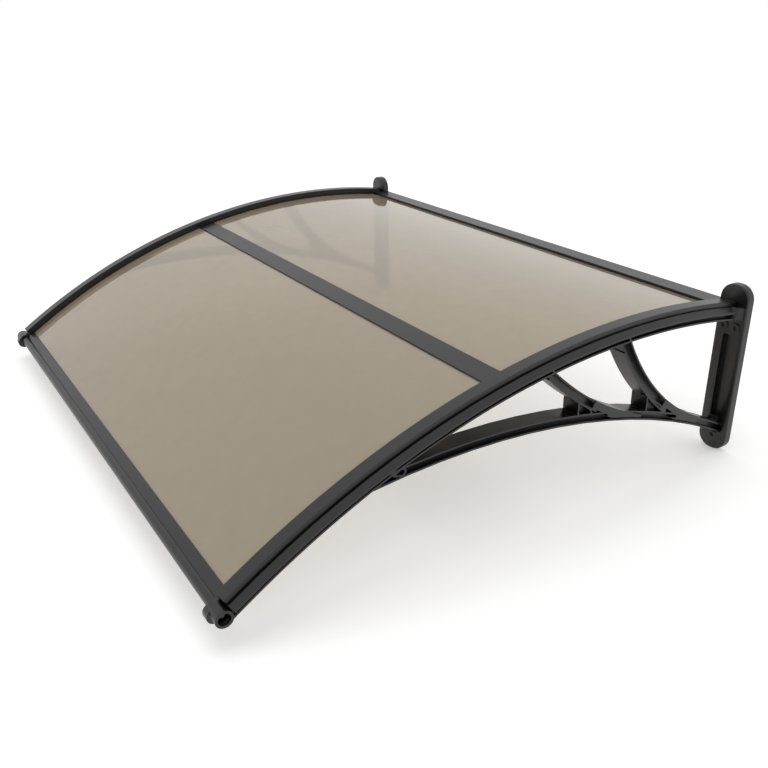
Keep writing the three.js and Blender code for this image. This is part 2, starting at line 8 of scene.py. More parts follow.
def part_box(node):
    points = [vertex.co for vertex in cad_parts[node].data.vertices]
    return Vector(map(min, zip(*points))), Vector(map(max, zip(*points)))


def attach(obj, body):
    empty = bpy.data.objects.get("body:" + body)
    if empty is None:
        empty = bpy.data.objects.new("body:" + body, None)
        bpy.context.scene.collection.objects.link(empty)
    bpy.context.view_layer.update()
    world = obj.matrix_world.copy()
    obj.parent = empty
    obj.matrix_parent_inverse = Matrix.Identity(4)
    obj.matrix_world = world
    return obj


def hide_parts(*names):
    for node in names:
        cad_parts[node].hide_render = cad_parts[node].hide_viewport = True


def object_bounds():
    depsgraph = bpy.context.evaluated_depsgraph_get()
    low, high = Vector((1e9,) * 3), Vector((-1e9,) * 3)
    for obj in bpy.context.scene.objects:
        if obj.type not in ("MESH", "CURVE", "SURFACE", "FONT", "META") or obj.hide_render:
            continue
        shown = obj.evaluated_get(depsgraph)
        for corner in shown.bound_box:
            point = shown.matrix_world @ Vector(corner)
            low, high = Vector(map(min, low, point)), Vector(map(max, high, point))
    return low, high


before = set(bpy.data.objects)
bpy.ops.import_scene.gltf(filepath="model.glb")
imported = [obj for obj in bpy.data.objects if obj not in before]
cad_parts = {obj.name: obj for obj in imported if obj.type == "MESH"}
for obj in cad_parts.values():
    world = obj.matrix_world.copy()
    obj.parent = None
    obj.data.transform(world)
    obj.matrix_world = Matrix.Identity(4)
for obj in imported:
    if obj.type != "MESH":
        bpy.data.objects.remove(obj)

bl_info = {
    "name": "Door canopy",
    "version": (1, 0, 0),
    "blender": (4, 5, 0),
    "location": "3D View > Sidebar > Canopy",
    "description": "Finishes a wall-mounted door canopy: tinted sheets, moulded brackets, strips and rails",
    "category": "Object",
}

CAD_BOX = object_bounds()
SIDES = ("left", "right")
STRIP_SCREWS = range(1, 5)
EXTRUSION_SMOOTH = math.radians(12)
MOULDING_SMOOTH = math.radians(28)
FLAT_ANGLE = math.radians(0.3)
MERGE_DISTANCE = 1e-6
ARC_STEPS = 96
TUBE_STEPS = 44

# The photograph's camera, fitted to the canopy's corners in a square frame
CAMERA_EYE = Vector((1.1700, -1.0070, 0.3907))
CAMERA_AZIMUTH = math.radians(55.93)
CAMERA_ELEVATION = math.radians(25.71)
CAMERA_FOCAL_PX = 847.5
CAMERA_CENTRE_PX = (422.0, 408.4)
IMAGE_PX = 768
SENSOR_MM = 36


def to_linear(colour):
    """Turns an sRGB hex colour into linear red, green and blue."""
    parts = [int(colour[at:at + 2], 16) / 255 for at in (1, 3, 5)]
    return tuple(c / 12.92 if c <= 0.04045 else ((c + 0.055) / 1.055) ** 2.4 for c in parts)


def length_property(name, description, default):
    return bpy.props.FloatProperty(
        name=name, description=description, default=default, min=0, precision=4, unit="LENGTH",
    )


def colour_property(name, description, default):
    return bpy.props.FloatVectorProperty(
        name=name, description=description, default=to_linear(default), size=3, min=0, max=1,
        subtype="COLOR",
    )


class CanopySizes(bpy.types.PropertyGroup):
    """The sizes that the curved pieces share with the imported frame."""

    sheet_radius: length_property("Sheet radius", "Radius of the sheets' top face", 1.069)
    crown_distance: length_property("Crown distance", "Distance of the sheets' crown from the wall", 0.178)
    crown_height: length_property("Crown height", "Height of the crown above the rear rail's middle", 0.014)
    sheet_thickness: length_property("Sheet thickness", "Thickness of both sheets", 0.003)
    sheet_gap: length_property("Sheet gap", "Gap at the sheets' hidden edges", 0.001)
    tube_distance: length_property("Tube distance", "Distance of the front tube from the wall", 0.790)
    tube_radius: length_property("Tube radius", "Radius of the front rail's tube", 0.007)
    fit_gap: length_property("Fit gap", "Clearance between pieces that fit together", 0.0003)
    rail_wall: length_property("Rail wall", "Wall thickness of the rails", 0.002)
    rail_lip: length_property("Rail lip", "Reach of the front rail's lips over the sheet", 0.020)
    slot_floor: length_property("Slot floor", "Distance of the front slot's floor from the tube", 0.0102)
    centre_distance: length_property("Centre distance", "Distance of the centre rail from the wall", 0.421)
    centre_width: length_property("Centre width", "Width of the centre rail's cover", 0.029)
    centre_lower: length_property("Centre lower width", "Width of the centre rail's lower flange", 0.024)
    centre_web: length_property("Centre web", "Thickness of the wall between the sheets", 0.003)
    centre_top: length_property("Centre top", "Height of the cover above the sheets", 0.0026)
    plate_thickness: length_property("Plate thickness", "Thickness of the wall plates", 0.012)
    strip_front: length_property("Strip front", "Distance of the strips' front ends from the tube", 0.012)
    strip_rear: length_property("Strip rear", "Distance of the strips' rear ends from the plates", 0.0025)
    strip_top: length_property("Strip top", "Height of the press strips above the sheets", 0.0117)
    strip_roof: length_property("Strip roof", "Thickness of the press strips' roof", 0.0032)
    strip_leg: length_property("Strip leg", "Thickness of the press strips' inner leg", 0.003)
    tape_thickness: length_property("Tape thickness", "Thickness of the sealing tapes", 0.002)
    screw_radius: length_property("Screw radius", "Radius of the screws' shanks", 0.00175)
    screw_head: length_property("Screw head", "Height of the screws' heads", 0.0024)
    edge_radius: length_property("Edge radius", "Rounding of the extruded edges", 0.0006)


class CanopyColours(bpy.types.PropertyGroup):
    """The colours of the canopy's finishes."""

    plastic: colour_property("Bracket plastic", "Black moulded plastic of the brackets", "#080808")
    coating: colour_property("Rail coating", "Dark coating of the rails and strips", "#0e0e0f")
    tint: colour_property("Sheet tint", "Bronze tint of the light that passes a sheet", "#ada089")
    tape: colour_property("Sealing tape", "Black sealing tape", "#101010")
    zinc: colour_property("Screw zinc", "Zinc plating of the screws", "#a9acb0")
    floor: colour_property("Floor", "Pale studio floor", "#f6f6f6")


# Nodes and materials

def add(tree, kind, inputs=None, **settings):
    """Adds a node, sets its options, and links or sets its inputs."""
    node = tree.nodes.new(kind)
    for key, value in settings.items():
        setattr(node, key, value)
    for key, value in (inputs or {}).items():
        if isinstance(value, bpy.types.NodeSocket):
            tree.links.new(value, node.inputs[key])
        else:
            node.inputs[key].default_value = value
    return node


def blank_material(name):
    material = bpy.data.materials.new(name)
    material.use_nodes = True
    material.node_tree.nodes.clear()
    return material, material.node_tree


def tones(tree, factor, colour, dark, light):
    """A ramp between a darker and a lighter share of one colour."""
    ramp = add(tree, "ShaderNodeValToRGB", {"Fac": factor})
    for element, position, share in zip(ramp.color_ramp.elements, (0.35, 0.7), (dark, light)):
        element.position = position
        element.color = (*(min(1, c * share) for c in colour), 1)
    return ramp.outputs["Color"]


def moulded_abs(colour):
    # Black ABS from a spark-eroded mould: an even grain softens the highlights, cloudy with handling
    material, tree = blank_material("moulded black ABS")
    grain_mm = 0.9  # about three times the real grain, which is too fine to show
    cloud_mm = 45
    edge_mm = 0.8
    place = add(tree, "ShaderNodeTexCoord").outputs["Object"]
    grain = add(tree, "ShaderNodeTexNoise", {"Vector": place, "Scale": 1000 / grain_mm, "Detail": 2})
    cloud = add(tree, "ShaderNodeTexNoise", {"Vector": place, "Scale": 1000 / cloud_mm, "Detail": 4})
    gloss = add(tree, "ShaderNodeMapRange", {"Value": cloud.outputs["Fac"], "To Min": 0.28, "To Max": 0.42})
    edge = add(tree, "ShaderNodeBevel", {"Radius": edge_mm / 1000}, samples=4)
    bump = add(tree, "ShaderNodeBump", {
        "Strength": 0.15,
        "Distance": 0.0001,
        "Height": grain.outputs["Fac"],
        "Normal": edge.outputs["Normal"],
    })
    surface = add(tree, "ShaderNodeBsdfPrincipled", {
        "Base Color": tones(tree, cloud.outputs["Fac"], colour, 0.7, 1.4),
        "Roughness": gloss.outputs["Result"],
        "Normal": bump.outputs["Normal"],
        "IOR": 1.53,
    })
    add(tree, "ShaderNodeOutputMaterial", {"Surface": surface.outputs["BSDF"]})
    return material


def coated_aluminium(colour):
    # Powder-coated aluminium extrusion: a satin black skin with a faint orange peel and uneven gloss
    material, tree = blank_material("powder-coated aluminium")
    peel_mm = 1.6
    cloud_mm = 60
    edge_mm = 0.5
    place = add(tree, "ShaderNodeTexCoord").outputs["Object"]
    peel = add(tree, "ShaderNodeTexNoise", {"Vector": place, "Scale": 1000 / peel_mm, "Detail": 1})
    cloud = add(tree, "ShaderNodeTexNoise", {"Vector": place, "Scale": 1000 / cloud_mm, "Detail": 3})
    gloss = add(tree, "ShaderNodeMapRange", {"Value": cloud.outputs["Fac"], "To Min": 0.3, "To Max": 0.4})
    edge = add(tree, "ShaderNodeBevel", {"Radius": edge_mm / 1000}, samples=4)
    bump = add(tree, "ShaderNodeBump", {
        "Strength": 0.1,
        "Distance": 0.0001,
        "Height": peel.outputs["Fac"],
        "Normal": edge.outputs["Normal"],
    })
    surface = add(tree, "ShaderNodeBsdfPrincipled", {
        "Base Color": tones(tree, cloud.outputs["Fac"], colour, 0.85, 1.2),
        "Roughness": gloss.outputs["Result"],
        "Normal": bump.outputs["Normal"],
        "IOR": 1.5,
    })
    add(tree, "ShaderNodeOutputMaterial", {"Surface": surface.outputs["BSDF"]})
    return material


def bronze_polycarbonate(colour):
    # Extruded polycarbonate with a bronze dye: polished, slightly wavy faces over a milky body that
    # lets what lies behind show only as a soft ghost
    material, tree = blank_material("bronze polycarbonate sheet")
    wave_mm = 120
    haze_mm = 25
    place = add(tree, "ShaderNodeTexCoord").outputs["Object"]
    wave = add(tree, "ShaderNodeTexNoise", {"Vector": place, "Scale": 1000 / wave_mm, "Detail": 1})
    haze = add(tree, "ShaderNodeTexNoise", {"Vector": place, "Scale": 1000 / haze_mm, "Detail": 3})
    gloss = add(tree, "ShaderNodeMapRange", {"Value": haze.outputs["Fac"], "To Min": 0.02, "To Max": 0.06})
    bump = add(tree, "ShaderNodeBump", {"Strength": 0.05, "Distance": 0.001, "Height": wave.outputs["Fac"]})
    surface = add(tree, "ShaderNodeBsdfPrincipled", {
        "Base Color": tones(tree, haze.outputs["Fac"], colour, 0.98, 1.02),
        "Roughness": gloss.outputs["Result"],
        "Normal": bump.outputs["Normal"],
        "IOR": 1.585,
        "Transmission Weight": 0.45,
    })
    add(tree, "ShaderNodeOutputMaterial", {"Surface": surface.outputs["BSDF"]})
    return material


def foam_tape(colour):
    # Closed-cell EPDM tape: matt black with small open pores on the cut face, and painted shade darkening the
    # pores' pits
    material, tree = blank_material("EPDM sealing tape")
    pore_mm = 0.6
    place = add(tree, "ShaderNodeTexCoord").outputs["Object"]
    pores_and_pore_shade = add(tree, "ShaderNodeTexVoronoi", {"Vector": place, "Scale": 1000 / pore_mm})
    bump = add(tree, "ShaderNodeBump", {
        "Strength": 0.4,
        "Distance": 0.0002,
        "Height": pores_and_pore_shade.outputs["Distance"],
    })
    surface = add(tree, "ShaderNodeBsdfPrincipled", {
        # Painted shade: the colour is darker in the pores' pits, where the bump sinks
        "Base Color": tones(tree, pores_and_pore_shade.outputs["Distance"], colour, 0.6, 1.3),
        "Roughness": 0.85,
        "Normal": bump.outputs["Normal"],
        "IOR": 1.5,
    })
    add(tree, "ShaderNodeOutputMaterial", {"Surface": surface.outputs["BSDF"]})
    return material


def plated_steel(colour):
    # Bright zinc plating over turned steel: a cool metal with a patchy passivated bloom
    material, tree = blank_material("zinc-plated steel")
    bloom_mm = 2
    place = add(tree, "ShaderNodeTexCoord").outputs["Object"]
    bloom = add(tree, "ShaderNodeTexNoise", {"Vector": place, "Scale": 1000 / bloom_mm, "Detail": 3})
    gloss = add(tree, "ShaderNodeMapRange", {"Value": bloom.outputs["Fac"], "To Min": 0.25, "To Max": 0.45})
    surface = add(tree, "ShaderNodeBsdfPrincipled", {
        "Base Color": tones(tree, bloom.outputs["Fac"], colour, 0.85, 1.1),
        "Roughness": gloss.outputs["Result"],
        "Metallic": 1.0,
    })
    add(tree, "ShaderNodeOutputMaterial", {"Surface": surface.outputs["BSDF"]})
    return material


# Lengths along the sheets' arc, measured from the crown and positive towards the wall

def arc_length(sizes, distance):
    return sizes.sheet_radius * math.asin((sizes.crown_distance - distance) / sizes.sheet_radius)


# Geometry Nodes

def new_tree(name, sockets):
    tree = bpy.data.node_groups.new(name, "GeometryNodeTree")
    for socket, kind in sockets:
        tree.interface.new_socket(name=socket, in_out="INPUT", socket_type=kind)
    tree.interface.new_socket(name="Geometry", in_out="OUTPUT", socket_type="NodeSocketGeometry")
    return tree


def end_tree(tree, geometry, material):
    whole = add(tree, "GeometryNodeRealizeInstances", {"Geometry": geometry})
    finished = add(tree, "GeometryNodeSetMaterial", {
        "Geometry": whole.outputs["Geometry"],
        "Material": material,
    })
    add(tree, "NodeGroupOutput", {"Geometry": finished.outputs["Geometry"]})


def wrap_tree():
    """Bends straight bars onto the sheets' arc: Y becomes length along it and Z becomes lift."""
    tree = new_tree("wrap on the arc", (
        ("Geometry", "NodeSocketGeometry"),
        ("Radius", "NodeSocketFloat"),
        ("Centre Y", "NodeSocketFloat"),
        ("Centre Z", "NodeSocketFloat"),
        ("Material", "NodeSocketMaterial"),
    ))
    given = add(tree, "NodeGroupInput").outputs
    position = add(tree, "GeometryNodeInputPosition").outputs["Position"]
    straight = add(tree, "ShaderNodeSeparateXYZ", {"Vector": position}).outputs
    angle = add(tree, "ShaderNodeMath", {0: straight["Y"], 1: given["Radius"]}, operation="DIVIDE").outputs[0]
    reach = add(tree, "ShaderNodeMath", {0: straight["Z"], 1: given["Radius"]}, operation="ADD").outputs[0]
    sine = add(tree, "ShaderNodeMath", {0: angle}, operation="SINE").outputs[0]
    cosine = add(tree, "ShaderNodeMath", {0: angle}, operation="COSINE").outputs[0]
    inward = add(tree, "ShaderNodeMath", {
        0: reach, 1: sine, 2: given["Centre Y"],
    }, operation="MULTIPLY_ADD").outputs[0]
    upward = add(tree, "ShaderNodeMath", {
        0: reach, 1: cosine, 2: given["Centre Z"],
    }, operation="MULTIPLY_ADD").outputs[0]
    bent = add(tree, "ShaderNodeCombineXYZ", {"X": straight["X"], "Y": inward, "Z": upward}).outputs["Vector"]
    moved = add(tree, "GeometryNodeSetPosition", {"Geometry": given["Geometry"], "Position": bent})
    end_tree(tree, moved.outputs["Geometry"], given["Material"])
    return tree


def screw_tree():
    """Sets one screw on each point, turned to the point's own direction."""
    tree = new_tree("screws on points", (
        ("Geometry", "NodeSocketGeometry"),
        ("Screw", "NodeSocketObject"),
        ("Material", "NodeSocketMaterial"),
    ))
    given = add(tree, "NodeGroupInput").outputs
    direction = add(tree, "GeometryNodeInputNamedAttribute", {"Name": "direction"}, data_type="FLOAT_VECTOR")
    turn = add(tree, "FunctionNodeAlignRotationToVector", {
        "Vector": direction.outputs["Attribute"],
    }, axis="Z")
    screw = add(tree, "GeometryNodeObjectInfo", {"Object": given["Screw"]})
    placed = add(tree, "GeometryNodeInstanceOnPoints", {
        "Points": given["Geometry"],
        "Instance": screw.outputs["Geometry"],
        "Rotation": turn.outputs["Rotation"],
    })
    end_tree(tree, placed.outputs["Instances"], given["Material"])
    return tree


def set_inputs(modifier, values):
    """Sets a modifier's inputs by their sockets' identifiers."""
    for socket in modifier.node_group.interface.items_tree:
        if socket.in_out == "INPUT" and socket.name in values:
            modifier[socket.identifier] = values[socket.name]


def wrap(source, sizes, material):
    modifier = source.modifiers.new("Wrap", "NODES")
    modifier.node_group = bpy.data.node_groups.get("wrap on the arc") or wrap_tree()
    set_inputs(modifier, {
        "Radius": sizes.sheet_radius,
        "Centre Y": -sizes.crown_distance,
        "Centre Z": sizes.crown_height - sizes.sheet_radius,
        "Material": material,
    })


# Meshes

def new_object(name, form):
    mesh = bpy.data.meshes.new(name)
    form.to_mesh(mesh)
    form.free()
    made = bpy.data.objects.new(name, mesh)
    bpy.context.scene.collection.objects.link(made)
    return made


def prism(form, points, along, start, end, steps):
    """A straight bar: a section repeated along X or Y, closed at both ends."""
    rings = []
    for step in range(steps + 1):
        at = start + (end - start) * step / steps
        places = [(at, a, b) if along == "X" else (a, at, b) for a, b in points]
        rings.append([form.verts.new(place) for place in places])
    sides = list(zip(range(len(points)), [*range(1, len(points)), 0]))
    for near, far in zip(rings, rings[1:]):
        for this, following in sides:
            form.faces.new((near[this], near[following], far[following], far[this]))
    form.faces.new(rings[0])
    form.faces.new(rings[-1])
    bmesh.ops.recalc_face_normals(form, faces=form.faces)


def rectangle(low, high, bottom, top):
    return [(low, bottom), (high, bottom), (high, top), (low, top)]


def round_edges(source, radius):
    bevel = source.modifiers.new("Edges", "BEVEL")
    bevel.width = radius
    bevel.segments = 3
    bevel.limit_method = "ANGLE"
    bevel.angle_limit = math.radians(40)


def plain_piece(source, name, nodes, smooth=EXTRUSION_SMOOTH):
    """Turns a worked object into a plain mesh that stands for its CAD nodes."""
    evaluated = source.evaluated_get(bpy.context.evaluated_depsgraph_get())
    mesh = bpy.data.meshes.new_from_object(evaluated)
    mesh.name = name
    mesh.shade_smooth()
    mesh.set_sharp_from_angle(angle=smooth)
    bpy.data.objects.remove(source)
    piece = bpy.data.objects.new(name, mesh)
    bpy.context.scene.collection.objects.link(piece)
    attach(piece, "root")
    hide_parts(*nodes)
    return piece


def merged_copy(node):
    """A copy of a CAD node's mesh with its loose triangles joined into whole faces."""
    form = bmesh.new()
    form.from_mesh(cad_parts[node].data)
    bmesh.ops.remove_doubles(form, verts=form.verts, dist=MERGE_DISTANCE)
    bmesh.ops.dissolve_limit(
        form, angle_limit=FLAT_ANGLE, use_dissolve_boundaries=False,
        verts=form.verts, edges=form.edges,
    )
    return form


class CanopyOperator:
    """What the canopy's operators share: the scene's sizes and finishes."""

    bl_options = {"REGISTER", "UNDO"}
    finishes = {}

    def sizes(self, context):
        return context.scene.canopy_sizes

    def finish(self, context, make, colour):
        if make not in self.finishes:
            self.finishes[make] = make(getattr(context.scene.canopy_colours, colour))
        return self.finishes[make]


class CANOPY_OT_sheets(CanopyOperator, bpy.types.Operator):
    """Makes the two curved, tinted sheets"""

    bl_idname = "canopy.sheets"
    bl_label = "Sheets"

    def execute(self, context):
        sizes = self.sizes(context)
        material = self.finish(context, bronze_polycarbonate, "tint")
        centre = arc_length(sizes, sizes.centre_distance)
        edge = sizes.centre_web / 2 + sizes.sheet_gap
        front_end = arc_length(sizes, sizes.tube_distance) + sizes.slot_floor + sizes.sheet_gap
        rear_end = arc_length(sizes, sizes.plate_thickness + sizes.sheet_gap)
        spans = {
            "front": (front_end, centre - edge),
            "rear": (centre + edge, rear_end),
        }
        for name, (start, end) in spans.items():
            node = f"panel_{name}"
            low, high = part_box(node)
            form = bmesh.new()
            prism(form, rectangle(low.x, high.x, -sizes.sheet_thickness, 0), "Y", start, end, ARC_STEPS)
            source = new_object(f"{node}_bar", form)
            round_edges(source, sizes.edge_radius / 2)
            wrap(source, sizes, material)
            sheet = plain_piece(source, f"sheet_{name}", [node])
            # Lamp rays don't bend through clear plastic, so without this the sheets shade like solid board
            sheet.visible_shadow = False
        return {"FINISHED"}


class CANOPY_OT_press_strips(CanopyOperator, bpy.types.Operator):
    """Makes the press strips and the sealing tapes under them"""

    bl_idname = "canopy.press_strips"
    bl_label = "Press strips and tapes"

    def execute(self, context):
        sizes = self.sizes(context)
        start = arc_length(sizes, sizes.tube_distance) + sizes.strip_front
        end = arc_length(sizes, sizes.plate_thickness + sizes.strip_rear)
        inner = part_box("press_strip_right")[0].x
        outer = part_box("press_strip_right")[1].x
        sheet_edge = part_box("panel_front")[1].x
        boss = sheet_edge + sizes.sheet_gap
        leg_bottom = sizes.tape_thickness + 2 * sizes.fit_gap
        roof = sizes.strip_top - sizes.strip_roof
        strip = [
            (inner, leg_bottom),
            (inner, sizes.strip_top),
            (outer, sizes.strip_top),
            (outer, -sizes.sheet_thickness),
            (boss, -sizes.sheet_thickness),
            (boss, roof),
            (inner + sizes.strip_leg, roof),
            (inner + sizes.strip_leg, leg_bottom),
        ]
        tape = rectangle(inner, sheet_edge, sizes.fit_gap, sizes.fit_gap + sizes.tape_thickness)
        coating = self.finish(context, coated_aluminium, "coating")
        foam = self.finish(context, foam_tape, "tape")
        for side in SIDES:
            sign = -1 if side == "left" else 1
            for kind, section, material, slot in (
                ("press_strip", strip, coating, "grey_aluminium"),
                ("sealing_tape", tape, foam, "black_rubber"),
            ):
                node = f"{kind}_{side}"
                form = bmesh.new()
                prism(form, [(sign * x, lift) for x, lift in section], "Y", start, end, ARC_STEPS)
                source = new_object(f"{node}_bar", form)
                round_edges(source, sizes.edge_radius)
                wrap(source, sizes, material)
                plain_piece(source, f"{node}_curved", [node])
        return {"FINISHED"}


class CANOPY_OT_rails(CanopyOperator, bpy.types.Operator):
    """Makes the rear, centre and front rails"""

    bl_idname = "canopy.rails"
    bl_label = "Rails"

    def front_section(self, sizes):
        """The front rail's outline: a tube that runs into two lips around the sheet's slot."""
        top = sizes.fit_gap + sizes.rail_wall
        below = -sizes.sheet_thickness - sizes.fit_gap
        bottom = below - sizes.rail_wall
        radius = sizes.tube_radius
        first = math.asin(top / radius)
        last = 2 * math.pi + math.asin(bottom / radius)
        turns = [first + (last - first) * step / TUBE_STEPS for step in range(TUBE_STEPS + 1)]
        tube = [(radius * math.cos(turn), radius * math.sin(turn)) for turn in turns]
        lips = [
            (sizes.rail_lip, bottom),
            (sizes.rail_lip, below),
            (sizes.slot_floor, below),
            (sizes.slot_floor, sizes.fit_gap),
            (sizes.rail_lip, sizes.fit_gap),
            (sizes.rail_lip, top),
        ]
        return tube + lips

    def centre_section(self, sizes):
        """The centre rail's outline: a cover and a lower flange joined by a web between the sheets."""
        below = -sizes.sheet_thickness - sizes.fit_gap
        half = sizes.centre_width / 2
        lower = sizes.centre_lower / 2
        web = sizes.centre_web / 2
        right = [
            (lower, below - sizes.rail_wall),
            (lower, below),
            (web, below),
            (web, sizes.fit_gap),
            (half, sizes.fit_gap),
            (half, sizes.centre_top),
        ]
        return right + [(-along, lift) for along, lift in reversed(right)]

    def execute(self, context):
        sizes = self.sizes(context)
        material = self.finish(context, coated_aluminium, "coating")
        for name, section, distance in (
            ("front", self.front_section(sizes), sizes.tube_distance),
            ("centre", self.centre_section(sizes), sizes.centre_distance),
        ):
            node = f"rail_{name}"
            low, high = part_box(node)
            start = arc_length(sizes, distance)
            end = min(high.x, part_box("rail_rear")[1].x)
            form = bmesh.new()
            prism(form, [(start + along, lift) for along, lift in section], "X", -end, end, 4)
            if high.x > end:
                ring = [2 * math.pi * step / TUBE_STEPS for step in range(TUBE_STEPS)]
                radius = sizes.tube_radius
                tube = [(start + radius * math.cos(turn), radius * math.sin(turn)) for turn in ring]
                prism(form, tube, "X", end - sizes.rail_wall, high.x, 1)
                prism(form, tube, "X", low.x, sizes.rail_wall - end, 1)
            source = new_object(f"{node}_bar", form)
            round_edges(source, sizes.edge_radius)
            wrap(source, sizes, material)
            plain_piece(source, f"{node}_extrusion", [node])
        source = new_object("rail_rear_bar", merged_copy("rail_rear"))
        round_edges(source, sizes.edge_radius)
        piece = plain_piece(source, "rail_rear_extrusion", ["rail_rear"])
        piece.data.materials.clear()
        piece.data.materials.append(material)
        return {"FINISHED"}


class CANOPY_OT_brackets(CanopyOperator, bpy.types.Operator):
    """Makes the two moulded wall brackets"""

    bl_idname = "canopy.brackets"
    bl_label = "Brackets"

    def execute(self, context):
        material = self.finish(context, moulded_abs, "plastic")
        for side in SIDES:
            node = f"bracket_{side}"
            source = new_object(f"{node}_copy", merged_copy(node))
            piece = plain_piece(source, f"{node}_moulding", [node], MOULDING_SMOOTH)
            piece.data.materials.clear()
            piece.data.materials.append(material)
        return {"FINISHED"}


class CANOPY_OT_screws(CanopyOperator, bpy.types.Operator):
    """Makes the strip screws under the arms and the rail screws in the noses"""

    bl_idname = "canopy.screws"
    bl_label = "Screws"

    def pan_head(self, sizes, head_radius, length):
        """One screw along Z, its pan head below zero with a cross recess."""
        crown = sizes.screw_head
        shoulder_share = 0.55
        recess_reach_share = 0.55
        recess_width_share = 0.28
        steps = 5
        around = 28
        shoulder = crown * shoulder_share
        profile = [(0, -crown)]
        for step in range(steps + 1):
            turn = math.pi / 2 * step / steps
            profile.append((
                head_radius - shoulder * (1 - math.sin(turn)),
                -crown + shoulder * (1 - math.cos(turn)),
            ))
        profile += [(head_radius, 0), (sizes.screw_radius, 0)]
        profile += [(sizes.screw_radius, length - 2 * sizes.screw_radius), (0, length)]
        form = bmesh.new()
        chain = [form.verts.new((radius, 0, at)) for radius, at in profile]
        edges = [form.edges.new(pair) for pair in zip(chain, chain[1:])]
        bmesh.ops.spin(
            form, geom=chain + edges, axis=(0, 0, 1), cent=(0, 0, 0),
            angle=2 * math.pi, steps=around, use_merge=True,
        )
        bmesh.ops.remove_doubles(form, verts=form.verts, dist=MERGE_DISTANCE)
        bmesh.ops.recalc_face_normals(form, faces=form.faces)
        screw = new_object("screw", form)
        cross = bmesh.new()
        reach = head_radius * recess_reach_share
        half = sizes.screw_radius * recess_width_share
        for wide, narrow in ((reach, half), (half, reach)):
            size = Matrix.Diagonal((2 * wide, 2 * narrow, crown, 1))
            bmesh.ops.create_cube(cross, size=1, matrix=Matrix.Translation((0, 0, -crown)) @ size)
        cutter = new_object("cross", cross)
        cut = screw.modifiers.new("Recess", "BOOLEAN")
        cut.object = cutter
        cut.use_self = True
        evaluated = screw.evaluated_get(bpy.context.evaluated_depsgraph_get())
        mesh = bpy.data.meshes.new_from_object(evaluated)
        bpy.data.objects.remove(cutter)
        screw.modifiers.clear()
        screw.data = mesh
        return screw

    def place(self, name, nodes, points, screw, material):
        mesh = bpy.data.meshes.new(name)
        mesh.from_pydata([point for point, _ in points], [], [])
        directions = mesh.attributes.new("direction", "FLOAT_VECTOR", "POINT")
        for slot, (_, direction) in zip(directions.data, points):
            slot.vector = direction
        source = bpy.data.objects.new(f"{name}_points", mesh)
        bpy.context.scene.collection.objects.link(source)
        modifier = source.modifiers.new("Screws", "NODES")
        modifier.node_group = bpy.data.node_groups.get("screws on points") or screw_tree()
        set_inputs(modifier, {"Screw": screw, "Material": material})
        plain_piece(source, name, nodes, MOULDING_SMOOTH)
        bpy.data.objects.remove(screw)

    def execute(self, context):
        sizes = self.sizes(context)
        material = self.finish(context, plated_steel, "zinc")
        centre = Vector((0, -sizes.crown_distance, sizes.crown_height - sizes.sheet_radius))
        nodes = [f"strip_screw_{side}_{number}" for side in SIDES for number in STRIP_SCREWS]
        points = []
        for node in nodes:
            low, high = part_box(node)
            middle = (low + high) / 2
            outward = Vector((0, middle.y - centre.y, middle.z - centre.z)).normalized()
            lifts = [vertex.co.dot(outward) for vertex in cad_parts[node].data.vertices]
            head = middle + outward * (min(lifts) + sizes.screw_head - middle.dot(outward))
            points.append((head, outward))
            length = max(lifts) - min(lifts) - sizes.screw_head
        head_radius = (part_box(nodes[0])[1].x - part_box(nodes[0])[0].x) / 2
        self.place("strip_screws", nodes, points, self.pan_head(sizes, head_radius, length), material)
        nodes = [f"rail_screw_{side}" for side in SIDES]
        points = []
        for node, sign in zip(nodes, (-1, 1)):
            low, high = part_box(node)
            middle = (low + high) / 2
            head = sign * (max(abs(low.x), abs(high.x)) - sizes.screw_head)
            points.append((Vector((head, middle.y, middle.z)), Vector((-sign, 0, 0))))
        low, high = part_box(nodes[0])
        length = high.x - low.x - sizes.screw_head
        head_radius = (high.y - low.y) / 2
        self.place("rail_screws", nodes, points, self.pan_head(sizes, head_radius, length), material)
        return {"FINISHED"}


